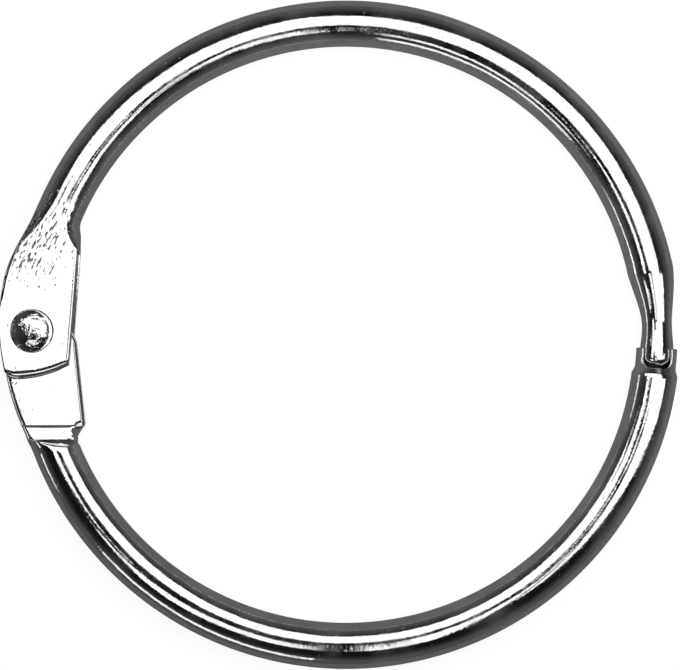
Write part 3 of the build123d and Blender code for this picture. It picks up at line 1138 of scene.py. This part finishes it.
    def mouth_drop(self, angle_round: float) -> float:
        """How far below the plug's root the mouth's notch ends at this angle round the section."""
        aside = abs(self.tube_radius * cos(radians(angle_round)))
        straight = self.notch_half_width - self.notch_corner
        corner = share_between(aside, straight, self.notch_half_width)
        return self.notch_drop - self.notch_corner * (1 - sqrt(1 - corner * corner))

    def sheet_share(self, point: Vector) -> float:
        """Share of the sheet's thickness that is left here, less in the mouth's drawn-in lips."""
        if point.x < 0 or point.y < -8:
            return 1.0
        drop = -self.centreline * sin(radians(-self.plug_angle)) - point.y
        drawn_in = share_between(drop, self.last_round_drop, self.swage_end)
        return blend(1.0, self.lip_sheet_share, drawn_in)

    def mouth_rows(self) -> list[Row]:
        """Rows of the mouth: the notch's rounded foot, and then the two lips beside it."""
        opening = degrees(asin(self.seam_gap / 2 / self.tube_radius))
        last = 2 * self.half_lanes
        turns = {lane: blend(opening - 180, 180 - opening, lane / last) for lane in range(last + 1)}
        lips = [
            lane for lane, turn in turns.items()
            if abs(cos(radians(turn))) * self.tube_radius > self.notch_half_width - 0.04
        ]
        rows = [
            {lane: self.mouth_point(turn, drop) for lane, turn in turns.items()}
            for drop in steps(self.swage_start, self.swage_end, 6)
        ]
        rows.append(
            {lane: self.mouth_point(turn, self.mouth_drop(turn)) for lane, turn in turns.items()}
        )
        for drop in (0.6, 0.22, -self.lip_rise):
            rows.append({lane: self.mouth_point(turns[lane], drop) for lane in lips})
        return rows

    def rounding_share(self, point: Vector) -> float:
        """How far a sharp edge here is rounded, by the mouth, the tongue's front or elsewhere."""
        if point.x > 0:
            return self.mouth_share
        outside = abs(point.z) > self.tongue_half_height - 0.05
        if outside and self.root + 0.1 < point.y < self.nose_corner[1] - 0.4:
            if abs(point.x - self.front_x(point.y)) < 0.06:
                return self.tongue_front_share
        return self.plain_share

    def build(self) -> bpy.types.Object:
        """Rolls the half, flattens its tongue, and shapes the mouth and the rivet's hole.

        Returns:
            The finished piece.
        """
        start = self.tube_row(self.tube_end)
        strip = SheetStrip(self.name, start)
        top = 360 + self.plug_angle - degrees(self.last_round_drop / self.centreline)
        turn = top - self.tube_end
        strip.spin(turn, ceil(turn / SPIN_STEP))
        strip.take(self.tube_row(top))
        strip.pull(self.mouth_rows())
        strip.take(start)
        strip.pull(self.shoulder_rows())
        strip.pull([self.tongue_row(level) for level in steps(self.root, self.web_top, 14)[1:]])
        strip.pull(self.nose_rows())
        piece = strip.thicken(self.sheet, self.sheet_share, even=False)
        round_sharp_edges(piece, self.rim_rounding, self.rounding_share)
        pivot = (self.pivot_x, self.pivot_height)
        cut_away(piece, round_bar(self.shank_hole_radius, -PUNCH_REACH, PUNCH_REACH, pivot))
        return piece


@dataclass
class HingeRivet:
    """Rivet through both halves, with a domed head on each face."""

    name: str = "hinge_rivet_domed"
    body: str = "upper"
    node: str = "hinge_rivet"
    place: Point = (-27.0, 0.33)
    head_shift: Point = (-0.21, -0.03)
    shank_radius: float = 1.0
    head_radius: float = 1.62
    head_stretch: float = 1.12
    seat_height: float = 1.88
    rim_height: float = 0.12
    dome_height: float = 0.5
    dome_rings: int = 16

    def loops(self) -> list[Point]:
        """Radius and height of each loop of the upper head, from the middle of the shank up."""
        ball = (self.head_radius**2 + self.dome_height**2) / (2 * self.dome_height)
        rim = self.seat_height + self.rim_height
        steepest = degrees(asin(self.head_radius / ball))
        dome = [
            (ball * sin(radians(turn)), rim + ball * (cos(radians(turn)) - cos(radians(steepest))))
            for turn in steps(steepest, 0, self.dome_rings)
        ]
        return [
            (self.shank_radius, self.seat_height),
            (self.head_radius - 0.03, self.seat_height),
            (self.head_radius, self.seat_height + 0.03),
            *dome[:-1],
        ]

    def build(self) -> bpy.types.Object:
        """Upsets both heads from one round bar.

        Returns:
            The finished piece.
        """
        deselect_all()
        x, y = self.place
        bpy.ops.mesh.primitive_circle_add(
            vertices=72, radius=self.shank_radius * MM, location=(x * MM, y * MM, 0)
        )
        piece = bpy.context.object
        piece.name = self.name
        piece.data.name = self.name
        settle(piece)
        bpy.ops.object.mode_set(mode="EDIT")
        radius, height = self.shank_radius, 0.0
        self.middle = self.place
        for next_radius, next_height in self.loops():
            bpy.ops.mesh.extrude_edges_indiv()
            bpy.ops.transform.translate(value=(0, 0, (next_height - height) * MM))
            self.scale_selected(next_radius / radius)
            if radius == self.shank_radius and next_radius > radius:
                aside, along = self.head_shift
                bpy.ops.transform.translate(value=(aside * MM, along * MM, 0))
                self.middle = (x + aside, y + along)
                bpy.ops.transform.resize(value=(1.0, self.head_stretch, 1.0))
            radius, height = next_radius, next_height
        bpy.ops.mesh.edge_face_add()
        bpy.ops.object.mode_set(mode="OBJECT")
        apply_modifier(
            piece,
            "MIRROR",
            use_axis=(False, False, True),
            use_mirror_merge=True,
            merge_threshold=0.001 * MM,
        )
        bpy.ops.object.mode_set(mode="EDIT")
        bpy.ops.mesh.select_all(action="SELECT")
        bpy.ops.mesh.remove_doubles(threshold=WELD_REACH * MM)
        bpy.ops.mesh.normals_make_consistent(inside=False)
        bpy.ops.object.mode_set(mode="OBJECT")
        return piece

    def scale_selected(self, grow: float) -> None:
        """Widens or narrows the selected loop about its middle."""
        mesh = bmesh.from_edit_mesh(bpy.context.object.data)
        middle = Vector((self.middle[0] * MM, self.middle[1] * MM, 0))
        for vertex in mesh.verts:
            if vertex.select:
                flat = Vector((vertex.co.x, vertex.co.y, 0)) - middle
                vertex.co.x, vertex.co.y = (middle + flat * grow).xy
        bmesh.update_edit_mesh(bpy.context.object.data)


@dataclass
class Studio:
    """Pale floor, soft lamps, and the camera straight above."""

    floor_height: float = -2.5
    camera_height: float = 300.0
    camera_place: Point = (-0.516, -0.022)
    lens: float = 183.0
    sensor_width: float = 36.0
    floor_radius: float = 1.2
    floor_shade: float = 0.24
    floor_glow: float = 0.9
    floor_glint: float = 0.01
    room_low: float = 0.10
    room_high: float = 0.008
    room_blend: float = 0.75
    lamp_height: float = 100.0
    low_lamp_height: float = 60.0

    def lamp(self, name: str, place: Vector, target: Vector, size: Point, radiance: float) -> None:
        """Adds one softbox.

        Args:
            name: Name of the lamp.
            place: Its centre, in metres.
            target: The point that it faces, in metres.
            size: Its width and height, in metres.
            radiance: How bright its face is, where 1 is white.
        """
        data = bpy.data.lights.new(name, "AREA")
        data.shape = "RECTANGLE"
        data.size, data.size_y = size
        data.energy = radiance * pi * size[0] * size[1]
        lamp = bpy.data.objects.new(name, data)
        lamp.location = place
        lamp.rotation_mode = "QUATERNION"
        lamp.rotation_quaternion = (target - place).to_track_quat("-Z", "Y")
        lamp.visible_camera = False
        bpy.context.scene.collection.objects.link(lamp)

    def overhead(self, name: str, low: Point, high: Point, height: float, radiance: float) -> None:
        """Adds a softbox overhead.

        Args:
            name: Name of the lamp.
            low: Its lowest corner in the plan, in millimetres.
            high: Its highest corner in the plan, in millimetres.
            height: Its height, in millimetres.
            radiance: How bright its face is, where 1 is white.
        """
        middle = Vector(((low[0] + high[0]) / 2, (low[1] + high[1]) / 2, height)) * MM
        size = ((high[0] - low[0]) * MM, (high[1] - low[1]) * MM)
        self.lamp(name, middle, middle - Vector((0, 0, 1)), size, radiance)

    def lamps(self) -> None:
        """Adds the softboxes close overhead, a card beside the hinge, and two low windows."""
        self.overhead("middle_softbox", (-24, 5), (5, 96), self.lamp_height, 1.6)
        self.overhead("main_softbox", (5, -6), (102, 96), self.lamp_height, 1.6)
        self.overhead("left_softbox", (-52, -24), (-24, 90), self.lamp_height, 1.6)
        self.overhead("far_left_softbox", (-105, 32), (-52, 84), self.lamp_height, 1.6)
        self.overhead("right_softbox", (28, -46), (165, -6), self.lamp_height, 1.6)
        self.overhead("small_softbox", (3, -70), (22, -18), self.lamp_height, 1.5)
        self.overhead("low_softbox", (-40, -52), (-5, -30), self.low_lamp_height, 1.4)
        middle = Vector((0, 0, 0))
        card, beside = Vector((-0.12, 0.0, 0.011)), Vector((0, 0, 0.011))
        self.lamp("hinge_card", card, beside, (0.07, 0.02), 1.2)
        self.lamp("window", Vector((-0.36, -0.70, 0.2)), middle, (0.6, 0.16), 1.3)
        self.lamp("side_window", Vector((-0.78, -0.24, 0.06)), middle, (0.3, 0.1), 1.3)

    def world(self) -> None:
        """Makes a dim room, darkest overhead, that the camera sees as white."""
        world = bpy.data.worlds.new("dim_room")
        bpy.context.scene.world = world
        world.use_nodes = True
        nodes, links = world.node_tree.nodes, world.node_tree.links
        nodes.clear()
        rays = nodes.new("ShaderNodeLightPath")
        direction = nodes.new("ShaderNodeTexCoord")
        parts = nodes.new("ShaderNodeSeparateXYZ")
        shade = nodes.new("ShaderNodeMapRange")
        shade.interpolation_type = "SMOOTHSTEP"
        shade.inputs["From Min"].default_value = 0.0
        shade.inputs["From Max"].default_value = self.room_blend
        shade.inputs["To Min"].default_value = self.room_low
        shade.inputs["To Max"].default_value = self.room_high
        room = nodes.new("ShaderNodeBackground")
        links.new(direction.outputs["Generated"], parts.inputs["Vector"])
        links.new(parts.outputs["Z"], shade.inputs["Value"])
        links.new(shade.outputs["Result"], room.inputs["Strength"])
        white = nodes.new("ShaderNodeBackground")
        white.inputs["Color"].default_value = (1, 1, 1, 1)
        room.inputs["Color"].default_value = (1, 1, 1, 1)
        mix = nodes.new("ShaderNodeMixShader")
        out = nodes.new("ShaderNodeOutputWorld")
        links.new(rays.outputs["Is Camera Ray"], mix.inputs["Fac"])
        links.new(room.outputs["Background"], mix.inputs[1])
        links.new(white.outputs["Background"], mix.inputs[2])
        links.new(mix.outputs["Shader"], out.inputs["Surface"])

    def floor(self) -> None:
        """Lays the floor under the rivet's lower head."""
        deselect_all()
        bpy.ops.mesh.primitive_circle_add(
            vertices=96,
            radius=self.floor_radius,
            fill_type="NGON",
            location=(0, 0, self.floor_height * MM),
        )
        floor = bpy.context.object
        floor.name = "floor"
        material = bpy.data.materials.new("pale_floor")
        material.use_nodes = True
        nodes, links = material.node_tree.nodes, material.node_tree.links
        nodes.clear()
        rays = nodes.new("ShaderNodeLightPath")
        matt = nodes.new("ShaderNodeBsdfDiffuse")
        matt.inputs["Color"].default_value = (*[self.floor_shade] * 3, 1)
        seen = nodes.new("ShaderNodeMath")
        seen.operation = "MULTIPLY_ADD"
        seen.inputs[1].default_value = self.floor_glint
        camera_share = nodes.new("ShaderNodeMath")
        camera_share.operation = "MULTIPLY"
        camera_share.inputs[1].default_value = self.floor_glow
        glow = nodes.new("ShaderNodeEmission")
        add = nodes.new("ShaderNodeAddShader")
        out = nodes.new("ShaderNodeOutputMaterial")
        links.new(rays.outputs["Is Camera Ray"], camera_share.inputs[0])
        links.new(rays.outputs["Is Glossy Ray"], seen.inputs[0])
        links.new(camera_share.outputs["Value"], seen.inputs[2])
        links.new(seen.outputs["Value"], glow.inputs["Strength"])
        links.new(matt.outputs["BSDF"], add.inputs[0])
        links.new(glow.outputs["Emission"], add.inputs[1])
        links.new(add.outputs["Shader"], out.inputs["Surface"])
        floor.data.materials.append(material)

    def camera(self) -> None:
        """Sets the camera straight above, with the photograph's frame."""
        data = bpy.data.cameras.new("overhead_camera")
        data.lens = self.lens
        data.sensor_width = self.sensor_width
        camera = bpy.data.objects.new("overhead_camera", data)
        camera.location = (
            self.camera_place[0] * MM, self.camera_place[1] * MM, self.camera_height * MM
        )
        bpy.context.scene.collection.objects.link(camera)
        bpy.context.scene.camera = camera

    def build(self) -> None:
        """Sets the whole studio up."""
        bpy.context.scene.view_settings.view_transform = "Standard"
        self.world()
        self.floor()
        self.lamps()
        self.camera()


def dress(piece: bpy.types.Object, finish: bpy.types.Material) -> None:
    """Gives a piece its finish and smooth shading.

    Args:
        piece: The piece.
        finish: Its material.
    """
    piece.data.materials.clear()
    piece.data.materials.append(finish)
    make_active(piece)
    bpy.ops.object.shade_smooth_by_angle(angle=radians(SMOOTH_ANGLE))


def main() -> None:
    """Builds every sub-assembly in order and reports it."""
    logging.basicConfig(level=logging.INFO, format="%(message)s")
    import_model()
    # The fork's dark specks are painted shade at its bend; the tongue's dark specks are its rough
    # texture.
    fork_finish = PolishedNickel(
        "nickel_with_painted_shade_at_fork", speck_and_shade_middle=Vector((-0.0278, 0.0083, 0.002)), speck_and_shade_reach=0.006
    )
    tongue_finish = PolishedNickel(
        "nickel_with_pressed_tongue", speck_and_shade_middle=Vector((-0.0292, -0.005, 0)), speck_and_shade_reach=0.003
    )
    rivet_finish = PolishedNickel(
        "nickel_on_hammered_rivet", wave_size=1500.0, wave_depth=0.00009, grain_depth=0.00003
    )
    parts = (
        (UpperHalf(), fork_finish.make(), Slot.RING),
        (LowerHalf(), tongue_finish.make(), Slot.RING),
        (HingeRivet(), rivet_finish.make(), Slot.RIVET),
    )
    for part, finish, slot in parts:
        piece = part.build()
        dress(piece, finish)
        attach(piece, part.body)
        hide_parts(part.node)
        log.info("%s: %d faces on body %s", piece.name, len(piece.data.polygons), part.body)
    Studio().build()


if __name__ == "__main__":
    main()
